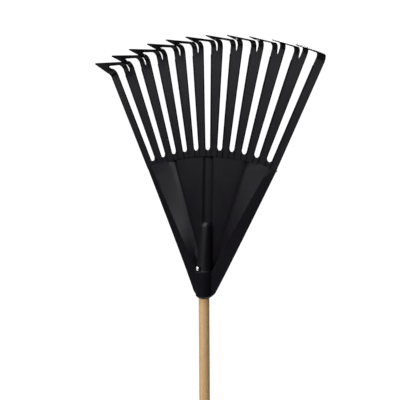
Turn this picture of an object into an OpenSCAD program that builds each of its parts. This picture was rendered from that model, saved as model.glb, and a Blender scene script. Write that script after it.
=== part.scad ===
// Leaf rake: a one-piece moulded plastic fan head with looped spring tines,
// on a long round wooden handle that a single screw holds in the socket.
// The handle's axis is the Z axis, and Z = 0 is where the straight shaft starts at the butt end.
// The fan stands upright behind the axis (+Y) and the tine tips point forward (-Y).

/* [Handle] */
// Diameter of the round wooden handle
handle_d = 25; // [24:0.5:26]
// Length of the handle from its butt to the end inside the socket
handle_length = 1219; // [900:1:1500]
// Length of the handle hidden in the socket
handle_insert = 100; // [85:1:105]
// Diameter of the tapered end inside the socket
handle_end_d = 17; // [16:0.5:18]
// Rounding of the butt end
butt_round = 5; // [2:0.5:8]

/* [Fan] */
// Angle between neighbouring tines, in degrees
tine_pitch = 4.85; // [4.8:0.01:4.9]
// Distance from the apex of the fan up to the top of the middle tine
fan_r = 618; // [610:1:630]
// How much higher the outermost tines reach along their own direction
fan_r_extra = 17; // [10:1:20]
// Thickness of the fan, the web and the tines
wall = 3.2; // [2.8:0.1:4]
// Distance from the handle's axis back to the front face of the fan
fan_setback = 19; // [18:0.5:20]

/* [Slots and tines] */
// Distance from the apex up to the rounded bottom of the middle slot
slot_r = 372; // [370:1:378]
// How much higher the outermost slots start
slot_r_extra = 8; // [4:1:10]
// Half width of a slot at its bottom
slot_half_w = 7.3; // [6.5:0.1:8]
// Half width of a slot at the bend
slot_half_w_top = 11; // [10:0.1:12]
// Distance from the outermost slot's middle line to the fan's edge, at the slot's bottom
edge_half_w = 24.7; // [22:0.1:26]
// The same distance at the bend
edge_half_w_top = 31.2; // [29:0.1:33]
// Inside radius of the bend
bend_r = 12; // [9:0.5:14]
// Reach of a tine forward from the fan
tine_reach = 86; // [75:1:100]
// Reach of the opening inside a tine's loop
loop_reach = 33; // [28:1:40]
// Thickness of a tine at its tip
tip_wall = 1.8; // [1.4:0.1:2.6]
// Half width of the blunt tip
tip_half_w = 1.6; // [1:0.1:3]
// Depth of the slits that part neighbouring tines
slit_depth = 24; // [20:1:30]
// Width of a slit at its open end
slit_w = 4.6; // [3.6:0.1:5.4]
// Height of the small beads along the slot edges
bead_h = 1.6; // [1:0.1:2]
// Width of the small beads
bead_w = 1.8; // [1.4:0.1:2.6]

/* [Web] */
// Distance from the apex up to the step across the middle of the web
web_r = 358; // [354:1:362]
// Angle by which the web leans forward towards the socket, in degrees
web_tilt = 2.3; // [1.5:0.1:3]
// Depth of the web's face behind the fan's face at the step
web_recess = 1.8; // [1:0.1:2.5]
// Depth of the two folded valleys
valley_depth = 5; // [4:0.1:5.5]
// Depth of the round channel up the middle
channel_depth = 7; // [5:0.5:8]
// Half width of the round channel
channel_half_w = 14.5; // [13:0.5:16]
// Distance by which the borders start in front of the fan's face, at the mouth
border_front = 22; // [20:0.5:23]

/* [Socket] */
// Radius of the collar round the mouth
collar_r = 19.4; // [18.8:0.1:20]
// Length of the collar
collar_h = 62; // [55:1:66]
// Size of the slant round the collar's lower edge
mouth_round = 4; // [2:0.5:5]
// Radius of the round bead at the collar's upper end
collar_bead_r = 2.4; // [1.5:0.1:3]
// Radius of the barrel just above the collar
barrel_r = 18.9; // [18.4:0.1:19.3]
// Radius of the barrel's domed end
barrel_end_r = 14.5; // [14:0.1:15.5]
// Height of the centre of the domed end above the mouth
barrel_h = 162; // [158:1:168]
// Shift of the domed end back towards the web
barrel_end_y = 11.5; // [10:0.5:12]
// Radial gap between the handle's tapered end and the socket
socket_gap = 0.15; // [0.1:0.05:0.3]

/* [Screw] */
// Diameter of the screw's pan head
screw_head_d = 9; // [7:0.5:10]
// Height of the screw's pan head
screw_head_h = 2.8; // [2:0.1:3.5]
// Diameter of the screw's shank
screw_shank_d = 4; // [3.5:0.1:4.5]
// Length of the screw's shank
screw_shank_l = 24; // [18:1:26]
// Turn of the screw from straight ahead towards -X, in degrees
screw_turn = 12; // [0:1:25]
// Height of the screw above the mouth
screw_z = 70; // [68:1:76]

/* [Hidden] */
$fn = 64;
// overlap that makes two touching shapes one
lap = 0.02;
// how much slimmer a tine's bend is than its strips, and how far its foot reaches into them
inset = 0.1;
foot_h = 3;

handle_r = handle_d / 2;
handle_end_r = handle_end_d / 2;
handle_top = handle_length - butt_round;
mouth_z = handle_top - handle_insert;
// the shaft's straight wall stops just below the mouth, where its taper starts
taper_start = mouth_z - 1;
taper_h = handle_top - taper_start;

// eleven tines, counted from -5 to 5 across the fan, whose lines meet at the apex
side_n = 5;
apex_drop = 31;
apex_z = mouth_z - apex_drop;
bend_out_r = bend_r + wall;

// the step across the web is an arc that is flatter than the fan
step_drop = 112;
pivot_z = 340;

// half width of the head at the mouth, the rounding of its corners there,
// and the corner of its outline beside the outermost slot
mouth_half_w = 22.9;
mouth_corner_w = 8;
mouth_corner_h = 14;
step_corner = from_tine(side_n, [edge_w(slot_r), slot_r]);

// each valley runs in a straight line from beside the socket up to the step,
// and its outer side rises further forward than its inner one
valley_low = [18.7, 110];
valley_high = [102.3, 355];
valley_in_w = 11;
valley_out_w = 11;
valley_out_rise = 6.5;
valley_spread = (valley_high[0] - valley_low[0]) / (valley_high[1] - valley_low[1]);

// each border starts at a fold, which leaves the middle at fold_z, leans outward and bows back
// to end in front of the fan's face, where the border's outer edge ends just behind it
fold_z = 56;
fold_lean = 29.8;
fold_end_front = 5;
fold_bow = 1.25;
border_end_back = 1;
border_bow = 0.65;

// the web's thickness from front to back, which the steep sides of the folds need
web_depth = wall + 0.8;

channel_r = (pow(channel_half_w, 2) + pow(channel_depth, 2)) / (2 * channel_depth);
screw_seat_r = collar_r + 1.6;
drive_w = 1.3;
drive_l = 5.4;
drive_depth = 1.6;

// distance from the apex to the top of tine i and to the bottom of slot i
function top_r(i) = fan_r + fan_r_extra * pow(i / side_n, 2);
function bottom_r(i) = slot_r + slot_r_extra * pow(i / side_n, 2);

// half widths at distance r from the apex
function grow(low, high, r) = low + (high - low) * (r - slot_r) / (fan_r - slot_r);
function slot_w(r) = grow(slot_half_w, slot_half_w_top, r);
function edge_w(r) = grow(edge_half_w, edge_half_w_top, r);
// a point drawn beside tine i, turned into the fan's own X and Z
function from_tine(i, p) = [
    p[0] * cos(i * tine_pitch) + p[1] * sin(i * tine_pitch),
    -p[0] * sin(i * tine_pitch) + p[1] * cos(i * tine_pitch)
];

// stands a flat shape drawn in X and Z up, with its face at y and its thickness going back
module upright(y, depth) {
    translate([0, y + depth, 0]) rotate([90, 0, 0]) linear_extrude(depth) children();
}

module both_sides() {
    children();
    mirror([1, 0, 0]) children();
}

// the fan's own frame: origin at the apex, front face in the plane y = 0
module in_fan() {
    translate([0, fan_setback, apex_z]) children();
}

// flat outlines, drawn round the apex with Y for up

// the step's flat arc from left to right, whose centre is below the apex, moved outward by extra
function step_arc(extra) = [
    for (a = [-30 : 1.5 : 30]) let (r = web_r + step_drop + extra) [r * sin(a), r * cos(a) - step_drop]
];

// everything below the step
module below_step(extra) {
    polygon(concat([[0, -step_drop]], step_arc(extra)));
}

// everything to the right of the fan's edge, from below the step to above the bends
module outside_outline() {
    top = top_r(side_n) + 8;
    far = 400;
    polygon([
        [mouth_half_w, apex_drop], step_corner, from_tine(side_n, [edge_w(top), top]),
        [far, top], [far, apex_drop]
    ]);
}

// the part of the fan that belongs to tine i, up to its bend
module tine_sector(i) {
    spread = tan(tine_pitch / 2 + 0.12);
    top = top_r(i) - bend_out_r;
    right = i == side_n ? edge_w(top) + 3 : spread * top;
    left = i == -side_n ? edge_w(top) + 3 : spread * top;
    rotate([0, 0, -i * tine_pitch])
        polygon([[0, 0], [right, top - 250], [right, top], [-left, top], [-left, top - 250]]);
}

module slot_outline(i) {
    low = bottom_r(i) + slot_half_w;
    rotate([0, 0, -i * tine_pitch]) {
        translate([0, low]) circle(r = slot_w(low));
        polygon([
            [-slot_w(low), low], [slot_w(low), low],
            [slot_w(top_r(i) + 5), top_r(i) + 5], [-slot_w(top_r(i) + 5), top_r(i) + 5]
        ]);
    }
}

// the two beads that stiffen the edges of slot i, running down to the step
module slot_beads(i) {
    low = web_r - 20;
    high = top_r(i) - slit_depth - 6;
    rotate([0, 0, -i * tine_pitch]) for (s = [-1, 1]) polygon([
        [s * (slot_w(low) - 2), low], [s * (slot_w(low) + bead_w), low],
        [s * (slot_w(high) + bead_w), high], [s * (slot_w(high) - 2), high]
    ]);
}

// the slit to the right of tine i, narrow at the bottom and wide through the bend
module slit_outline(i) {
    r = top_r(i + 0.5);
    foot = 0.9;
    rotate([0, 0, -(i + 0.5) * tine_pitch]) {
        translate([0, r - slit_depth]) circle(r = foot);
        polygon([
            [-foot, r - slit_depth], [foot, r - slit_depth],
            [slit_w / 2, r - bend_out_r - 4], [slit_w / 2, r + 6],
            [-slit_w / 2, r + 6], [-slit_w / 2, r - bend_out_r - 4]
        ]);
    }
}

// side view of a bend, its foot inside the fan and its pointed arm; r is the top of the tine
module hook_side(r) {
    centre = r - bend_out_r;
    translate([inset, centre - foot_h]) square([wall - 2 * inset, foot_h]);
    intersection() {
        translate([-bend_r, centre]) difference() {
            circle(r = bend_out_r - inset);
            circle(r = bend_r + inset);
        }
        translate([-bend_r, centre]) square(bend_out_r);
    }
    polygon([
        [-bend_r, r - inset], [-bend_r, r - wall + inset],
        [-tine_reach, r - tip_wall - 0.4], [-tine_reach, r - 0.4]
    ]);
}

// plan of a hook: two arms that meet in a pointed plate, with the loop's opening between them
module hook_plan(left, right, inner) {
    tip_r = 2.5;
    difference() {
        polygon([
            [-left, -wall], [right, -wall], [right, bend_r * 0.8],
            [tip_half_w, tine_reach], [-tip_half_w, tine_reach], [-left, bend_r * 0.8]
        ]);
        polygon([
            [-inner, -wall - 1], [inner, -wall - 1], [inner, bend_r],
            [tip_r, loop_reach], [-tip_r, loop_reach], [-inner, bend_r]
        ]);
        translate([0, loop_reach]) circle(r = tip_r);
    }
}

// tine i from its foot to its tip, a hair slimmer than the strips it grows from
module hook(i) {
    base = top_r(i) - bend_out_r;
    half = base * tan(tine_pitch / 2) - slit_w / 2 - 3 * inset;
    edge = edge_w(base) - 3 * inset;
    rotate([0, i * tine_pitch, 0]) intersection() {
        translate([-60, 0, 0]) rotate([90, 0, 90]) linear_extrude(120) hook_side(top_r(i));
        translate([0, 0, base - foot_h - 1]) linear_extrude(bend_out_r + foot_h + 2)
            mirror([0, 1]) hook_plan(
                i == -side_n ? edge : half, i == side_n ? edge : half, slot_w(base) + 2 * inset
            );
    }
}

// the slotted fan with its beads and its looped tines, from the step upward
module fan() {
    difference() {
        union() {
            upright(0, wall) for (i = [-side_n : side_n]) tine_sector(i);
            upright(-bead_h, bead_h + 1) for (i = [-side_n : side_n]) slot_beads(i);
        }
        upright(-5, 30) {
            below_step(0);
            for (i = [-side_n : side_n]) slot_outline(i);
            for (i = [-side_n : side_n - 1]) slit_outline(i);
            both_sides() outside_outline();
        }
    }
    for (i = [-side_n : side_n]) hook(i);
}

// positions across the web at height z above the apex, and how far back its front lies there;
// near the mouth the inner ones stay inside the socket
function rise(z, low, high) = max(0, z - low) / (high - low);
function valley_x(z) = max(8, valley_low[0] + (z - valley_low[1]) * valley_spread);
function fold_x(z) = max(12, (z - fold_z) * tan(fold_lean));
function corner_x(z) = mouth_corner_w * pow(1 - min(1, rise(z, apex_drop, apex_drop + mouth_corner_h)), 2);
function border_x(z) = mouth_half_w - inset - corner_x(z)
    + (step_corner[0] - mouth_half_w) * rise(z, apex_drop, step_corner[1]);
function web_y(z) = web_recess + (z - pivot_z) * tan(web_tilt);
function fold_y(z) =
    (border_front - fold_end_front) * pow(rise(z, fold_z, step_corner[1]), fold_bow) - border_front;
function border_y(z) =
    (border_front + border_end_back) * pow(rise(z, apex_drop, step_corner[1]), border_bow) - border_front;

// the right half of the web's front line at height z, from beside the channel out to the edge
function half_front(z) = let (
    bottom = [valley_x(z), web_y(z) + valley_depth, z],
    out_w = min(valley_out_w, (fold_x(z) - valley_x(z)) / 2)
) [
    [max(4, valley_x(z) - valley_in_w), web_y(z), z],
    bottom,
    bottom + [out_w, -valley_out_rise * out_w / valley_out_w, 0],
    [fold_x(z), fold_y(z), z],
    [border_x(z), border_y(z), z]
];

// the whole section at height z: the front line from left to right, then the back line returning
function web_ring(z) = let (
    right = half_front(z),
    left = [for (i = [4 : -1 : 0]) [-right[i][0], right[i][1], z]],
    front = concat(left, right),
    back = [for (i = [9 : -1 : 0]) front[i] + [0, web_depth, 0]]
) concat(front, back);

// the folded web, built up from sections that get wider towards the step and reach past it
module web_shell() {
    above_mouth = [0.2, 2, 5, 9, 14, 21, 31, 43];
    heights = concat([for (h = above_mouth) apex_drop + h], [for (z = [90 : 20 : 370]) z]);
    ring = 20;
    last = (len(heights) - 1) * ring;
    sides = [for (k = [0 : len(heights) - 2], j = [0 : ring - 1]) let (
        a = k * ring + j, b = k * ring + (j + 1) % ring
    ) each [[a, a + ring, b + ring], [a, b + ring, b]]];
    ends = [for (i = [0 : 8]) each [
        [i, i + 1, ring - 2 - i, ring - 1 - i],
        [last + ring - 1 - i, last + ring - 2 - i, last + i + 1, last + i]
    ]];
    polyhedron([for (z = heights) each web_ring(z)], concat(sides, ends));
}

// a round bar up the middle, which follows the web's lean; keep the part of it behind y
module channel_bar(r, low, high, y) {
    translate([0, web_recess, pivot_z]) rotate([-web_tilt, 0, 0]) translate([0, 0, low - pivot_z])
        intersection() {
            translate([0, channel_depth - channel_r, 0]) cylinder(r = r, h = high - low);
            translate([-60, y, -1]) cube([120, 100, high - low + 2]);
        }
}

// the web below the step, with its round channel and the riser that joins it to the fan
module web() {
    step_lap = 2.5;
    riser_y = 0.2;
    riser_depth = 8;
    difference() {
        union() {
            intersection() {
                union() {
                    web_shell();
                    channel_bar(channel_r + wall, 150, 380, 1);
                }
                upright(-40, 80) below_step(step_lap);
            }
            upright(riser_y, riser_depth) difference() {
                polygon(concat(step_arc(step_lap), [for (i = [40 : -1 : 0]) step_arc(-0.5)[i]]));
                both_sides() outside_outline();
            }
        }
        channel_bar(channel_r, 180, web_r - 0.2, -50);
    }
}

module at_screw() {
    translate([0, 0, screw_z]) rotate([90, 0, -screw_turn]) children();
}

// the collar, the leaning and tapering barrel with its domed end, and the screw's boss
module socket_outside() {
    lean = atan(barrel_end_y / (barrel_h - collar_h));
    barrel_l = (barrel_h - collar_h) / cos(lean) + 8;
    translate([0, 0, mouth_z]) {
        cylinder(r1 = collar_r - mouth_round, r2 = collar_r, h = mouth_round);
        translate([0, 0, mouth_round]) cylinder(r = collar_r, h = collar_h - mouth_round);
        translate([0, 0, collar_h])
            rotate_extrude() translate([collar_r - collar_bead_r + 0.8, 0]) circle(r = collar_bead_r);
        translate([0, 0, collar_h - 8]) rotate([-lean, 0, 0]) rotate_extrude() intersection() {
            union() {
                polygon([[0, 0], [barrel_r, 0], [barrel_end_r, barrel_l], [0, barrel_l]]);
                translate([0, barrel_l]) circle(r = barrel_end_r);
            }
            square([barrel_r + 5, barrel_l + barrel_end_r + 5]);
        }
        at_screw() cylinder(r = screw_head_d / 2 + 1.5, h = screw_seat_r);
    }
}

// the tapered space for the handle's end, open at the mouth
module socket_bore() {
    translate([0, 0, taper_start - lap]) cylinder(
        r1 = handle_r + socket_gap, r2 = handle_end_r + socket_gap, h = taper_h + lap
    );
    translate([0, 0, handle_top - lap]) cylinder(r = handle_end_r + socket_gap, h = 2);
}

module rake_head() {
    color([0.06, 0.06, 0.07]) difference() {
        union() {
            in_fan() {
                fan();
                web();
            }
            socket_outside();
        }
        socket_bore();
        translate([0, 0, mouth_z]) at_screw() cylinder(r = screw_shank_d / 2 + 0.1, h = 40);
    }
}

module handle() {
    color([0.80, 0.66, 0.47]) difference() {
        union() {
            cylinder(r = handle_r, h = taper_start);
            rotate_extrude() intersection() {
                union() {
                    translate([handle_r - butt_round, 0]) circle(r = butt_round);
                    translate([0, -butt_round]) square([handle_r - butt_round, butt_round]);
                }
                translate([0, -butt_round]) square([handle_r, butt_round]);
            }
            translate([0, 0, taper_start]) cylinder(r1 = handle_r, r2 = handle_end_r, h = taper_h);
        }
        // the hole that the screw cuts
        translate([0, 0, mouth_z]) at_screw() translate([0, 0, screw_seat_r - screw_shank_l])
            cylinder(r = screw_shank_d / 2 + lap, h = 40);
    }
}

module socket_screw() {
    color([0.78, 0.79, 0.80]) translate([0, 0, mouth_z]) at_screw() difference() {
        union() {
            translate([0, 0, screw_seat_r - screw_shank_l])
                cylinder(d = screw_shank_d, h = screw_shank_l + 0.5);
            translate([0, 0, screw_seat_r]) intersection() {
                cylinder(d = screw_head_d, h = screw_head_h);
                translate([0, 0, -3.9]) sphere(r = 6.7);
            }
        }
        for (a = [45, 135]) rotate([0, 0, a])
            translate([-drive_l / 2, -drive_w / 2, screw_seat_r + screw_head_h - drive_depth])
                cube([drive_l, drive_w, 5]);
    }
}

rake_head();
handle();
socket_screw();
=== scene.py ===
"""Looks of the leaf rake: black moulded plastic, grained wood and zinc, in a plain white studio."""

import math

import bpy
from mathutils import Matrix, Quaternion, Vector


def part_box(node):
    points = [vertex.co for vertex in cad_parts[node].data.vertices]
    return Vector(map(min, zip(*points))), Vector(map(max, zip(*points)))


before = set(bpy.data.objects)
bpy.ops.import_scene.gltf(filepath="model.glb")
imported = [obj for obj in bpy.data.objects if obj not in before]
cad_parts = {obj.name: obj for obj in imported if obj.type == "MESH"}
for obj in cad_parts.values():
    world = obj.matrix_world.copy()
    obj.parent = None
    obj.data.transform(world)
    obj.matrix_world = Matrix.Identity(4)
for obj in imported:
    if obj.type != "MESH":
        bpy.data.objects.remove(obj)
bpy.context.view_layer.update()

head_low, head_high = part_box("rake_head")
handle_low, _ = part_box("handle")

# edges steeper than BEVEL_ANGLE are rounded, and edges steeper than CREASE_ANGLE stay crisp
BEVEL_ANGLE = math.radians(28.0)
CREASE_ANGLE = math.radians(18.0)
# points closer than this are one point, in metres
WELD_GAP = 1e-6
# the colour sockets of a mix node, which share their names with its other sockets
MIX_FIRST, MIX_SECOND, MIX_RESULT = 6, 7, 2


# node helpers

class Recipe:
    """A material whose nodes are added one after another, all fed from the object's own coordinates."""

    def __init__(self, name):
        self.material = bpy.data.materials.new(name)
        self.material.use_nodes = True
        self.nodes = self.material.node_tree.nodes
        self.links = self.material.node_tree.links
        self.shader = self.nodes["Principled BSDF"]
        self.place = self.nodes.new("ShaderNodeTexCoord").outputs["Object"]

    def set(self, **values):
        for socket, value in values.items():
            self.shader.inputs[socket.replace("_", " ")].default_value = value

    def join(self, output, socket):
        self.links.new(output, self.shader.inputs[socket])

    def stretched(self, scale):
        """The object's coordinates, stretched to scale along X, Y and Z."""
        node = self.nodes.new("ShaderNodeMapping")
        node.inputs["Scale"].default_value = scale
        self.links.new(self.place, node.inputs["Vector"])
        return node.outputs["Vector"]

    def noise(self, scale, detail=3.0, roughness=0.5, distortion=0.0, place=None):
        node = self.nodes.new("ShaderNodeTexNoise")
        node.inputs["Scale"].default_value = scale
        node.inputs["Detail"].default_value = detail
        node.inputs["Roughness"].default_value = roughness
        node.inputs["Distortion"].default_value = distortion
        self.links.new(place or self.place, node.inputs["Vector"])
        return node.outputs["Fac"]

    def ramp(self, value, stops):
        """Colours, or grey levels, over a value; stops are (position, colour) pairs."""
        node = self.nodes.new("ShaderNodeValToRGB")
        elements = node.color_ramp.elements
        while len(elements) < len(stops):
            elements.new(0.5)
        for element, (position, colour) in zip(elements, stops):
            if not isinstance(colour, tuple):
                colour = (colour, colour, colour)
            element.position = position
            element.color = (*colour, 1.0)
        self.links.new(value, node.inputs["Fac"])
        return node.outputs["Color"]

    def mix(self, share, first, second, blend="MIX"):
        """Mixes two colours; share is a number or another node's output."""
        node = self.nodes.new("ShaderNodeMix")
        node.data_type = "RGBA"
        node.blend_type = blend
        if isinstance(share, float):
            node.inputs["Factor"].default_value = share
        else:
            self.links.new(share, node.inputs["Factor"])
        for socket, colour in ((node.inputs[MIX_FIRST], first), (node.inputs[MIX_SECOND], second)):
            if isinstance(colour, tuple):
                socket.default_value = (*colour, 1.0)
            else:
                self.links.new(colour, socket)
        return node.outputs[MIX_RESULT]

    def bumps(self, *layers):
        """Stacks bump layers, each (height output, strength, distance in metres)."""
        normal = None
        for height, strength, distance in layers:
            node = self.nodes.new("ShaderNodeBump")
            node.inputs["Strength"].default_value = strength
            node.inputs["Distance"].default_value = distance
            self.links.new(height, node.inputs["Height"])
            if normal is not None:
                self.links.new(normal, node.inputs["Normal"])
            normal = node.outputs["Normal"]
        self.join(normal, "Normal")


# materials

def black_plastic():
    """Satin moulded polypropylene: even black, faint flow marks, fine texture, scuffs that hold dust."""
    made = Recipe("head_plastic")
    flow = made.noise(9.0, detail=4.0, distortion=0.6)
    cloud = made.noise(38.0, detail=5.0)
    grain = made.noise(1500.0, detail=2.0, roughness=0.6)
    scuff = made.noise(260.0, detail=6.0, roughness=0.7, place=made.stretched((1.0, 1.0, 0.16)))
    tone = made.ramp(flow, [(0.3, (0.0028, 0.0023, 0.0040)), (0.7, (0.0046, 0.0038, 0.0060))])
    dust = made.ramp(scuff, [(0.62, 0.0), (0.80, 0.16)])
    made.join(made.mix(dust, tone, (0.014, 0.013, 0.015)), "Base Color")
    even_gloss = made.ramp(cloud, [(0.3, 0.36), (0.7, 0.46)])
    scuffed_gloss = made.ramp(scuff, [(0.4, 0.36), (0.8, 0.52)])
    made.join(made.mix(0.5, even_gloss, scuffed_gloss), "Roughness")
    made.set(Specular_IOR_Level=0.18, IOR=1.49)
    made.bumps((cloud, 0.05, 0.0006), (grain, 0.10, 0.00008))
    return made.material


def handle_wood():
    """Sanded straight-grained hardwood with pores, darker growth lines and a thin clear coat."""
    made = Recipe("handle_wood")
    long_grain = made.stretched((60.0, 60.0, 1.1))
    figure = made.noise(1.0, detail=5.0, roughness=0.55, distortion=0.35, place=long_grain)
    lines = made.noise(5.0, detail=3.0, roughness=0.7, place=long_grain)
    pores = made.noise(1.0, detail=2.0, place=made.stretched((1500.0, 1500.0, 40.0)))
    patches = made.noise(4.0, detail=2.0)
    pale, tan, warm = (0.64, 0.41, 0.20), (0.53, 0.31, 0.135), (0.62, 0.39, 0.20)
    brown, dark = (0.34, 0.17, 0.065), (0.25, 0.13, 0.06)
    body = made.ramp(figure, [(0.30, tan), (0.50, pale), (0.72, tan)])
    body = made.mix(made.ramp(lines, [(0.55, 0.0), (0.70, 0.55)]), body, brown)
    body = made.mix(made.ramp(pores, [(0.60, 0.0), (0.70, 0.45)]), body, dark)
    body = made.mix(made.ramp(patches, [(0.4, 0.0), (0.7, 0.25)]), body, warm)
    made.join(body, "Base Color")
    made.join(made.ramp(lines, [(0.3, 0.42), (0.7, 0.60)]), "Roughness")
    made.set(Coat_Weight=0.25, Coat_Roughness=0.28)
    made.bumps((lines, 0.25, 0.0002), (pores, 0.35, 0.00012))
    return made.material


def zinc():
    """Bright zinc plating with a slight bloom and fine tumbling marks."""
    made = Recipe("screw_zinc")
    bloom = made.noise(420.0, detail=4.0)
    marks = made.noise(2600.0, detail=3.0, roughness=0.7)
    made.join(made.ramp(bloom, [(0.3, (0.62, 0.63, 0.65)), (0.7, (0.80, 0.81, 0.82))]), "Base Color")
    made.join(made.ramp(marks, [(0.3, 0.22), (0.7, 0.40)]), "Roughness")
    made.set(Metallic=1.0)
    made.bumps((marks, 0.15, 0.00004))
    return made.material


def plain(name, colour, roughness):
    """An even matt paint, for the floor only."""
    made = Recipe(name)
    made.set(Base_Color=(*colour, 1.0), Roughness=roughness)
    return made.material


# pieces

def finish_node(name, material, edge):
    """Gives a CAD node its material, and rounds its sharp edges over a width of edge, in metres."""
    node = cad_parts[name]
    node.data.materials.clear()
    node.data.materials.append(material)
    for polygon in node.data.polygons:
        polygon.use_smooth = True
    node.data.set_sharp_from_angle(angle=CREASE_ANGLE)
    weld = node.modifiers.new("weld", "WELD")
    weld.merge_threshold = WELD_GAP
    bevel = node.modifiers.new("edge", "BEVEL")
    bevel.width = edge
    bevel.segments = 2
    bevel.limit_method = "ANGLE"
    bevel.angle_limit = BEVEL_ANGLE
    bevel.miter_outer = "MITER_ARC"
    level = node.modifiers.new("level", "WEIGHTED_NORMAL")
    level.keep_sharp = True


def soft_light(name, offset, size, power):
    """A rectangular white light, offset from the middle of the head and turned towards it."""
    middle = Vector((0.0, 0.0, (head_low.z + head_high.z) / 2))
    data = bpy.data.lights.new(name, "AREA")
    data.shape = "RECTANGLE"
    data.size, data.size_y = size
    data.energy = power
    light = bpy.data.objects.new(name, data)
    light.location = middle + Vector(offset)
    light.rotation_euler = (middle - light.location).to_track_quat("-Z", "Y").to_euler()
    bpy.context.scene.collection.objects.link(light)


def floor():
    """A pale round floor under the handle's end."""
    bpy.ops.mesh.primitive_circle_add(
        vertices=96, radius=1.6, fill_type="NGON", location=(0.0, 0.0, handle_low.z)
    )
    made = bpy.context.object
    made.name = "floor"
    made.data.materials.append(plain("pale_floor", (0.86, 0.86, 0.86), 0.7))


def white_surround():
    """The camera sees white all round, and the object only a dim grey, so that black plastic stays black."""
    world = bpy.context.scene.world or bpy.data.worlds.new("studio")
    bpy.context.scene.world = world
    world.use_nodes = True
    nodes, links = world.node_tree.nodes, world.node_tree.links
    nodes.clear()
    seen = nodes.new("ShaderNodeBackground")
    seen.inputs["Color"].default_value = (1.0, 1.0, 1.0, 1.0)
    seen.inputs["Strength"].default_value = 1.05
    felt = nodes.new("ShaderNodeBackground")
    felt.inputs["Color"].default_value = (0.95, 0.97, 1.0, 1.0)
    felt.inputs["Strength"].default_value = 0.07
    rays = nodes.new("ShaderNodeLightPath")
    mix = nodes.new("ShaderNodeMixShader")
    output = nodes.new("ShaderNodeOutputWorld")
    links.new(rays.outputs["Is Camera Ray"], mix.inputs["Fac"])
    links.new(felt.outputs["Background"], mix.inputs[1])
    links.new(seen.outputs["Background"], mix.inputs[2])
    links.new(mix.outputs["Shader"], output.inputs["Surface"])


def camera():
    """Looks at the head from the right and a little above, from about a metre and a half away."""
    aim = Vector((-0.0225, 0.0203, head_low.z + 0.2243))
    azimuth, elevation, roll = math.radians(32.768), math.radians(4.875), math.radians(-0.35)
    distance = 1.5379
    back = Vector((
        math.sin(azimuth) * math.cos(elevation),
        -math.cos(azimuth) * math.cos(elevation),
        math.sin(elevation),
    ))
    data = bpy.data.cameras.new("camera")
    data.sensor_width = 36.0
    data.lens = 59.15
    data.clip_end = 100.0
    made = bpy.data.objects.new("camera", data)
    made.location = aim + back * distance
    level = (-back).to_track_quat("-Z", "Y")
    made.rotation_euler = (level @ Quaternion((0.0, 0.0, 1.0), roll)).to_euler()
    bpy.context.scene.collection.objects.link(made)
    bpy.context.scene.camera = made


finish_node("rake_head", black_plastic(), 0.0004)
finish_node("handle", handle_wood(), 0.0006)
finish_node("socket_screw", zinc(), 0.0002)

camera()
floor()
white_surround()
soft_light("left", (-1.50, -1.55, 1.25), (1.5, 1.4), 34.0)
soft_light("front", (0.20, -2.10, 1.15), (1.5, 1.4), 38.0)
soft_light("top", (-0.2, -0.6, 1.9), (1.8, 1.2), 52.0)
soft_light("back", (-1.2, 2.0, 0.9), (1.4, 1.4), 55.0)
bpy.context.scene.view_settings.view_transform = "Standard"
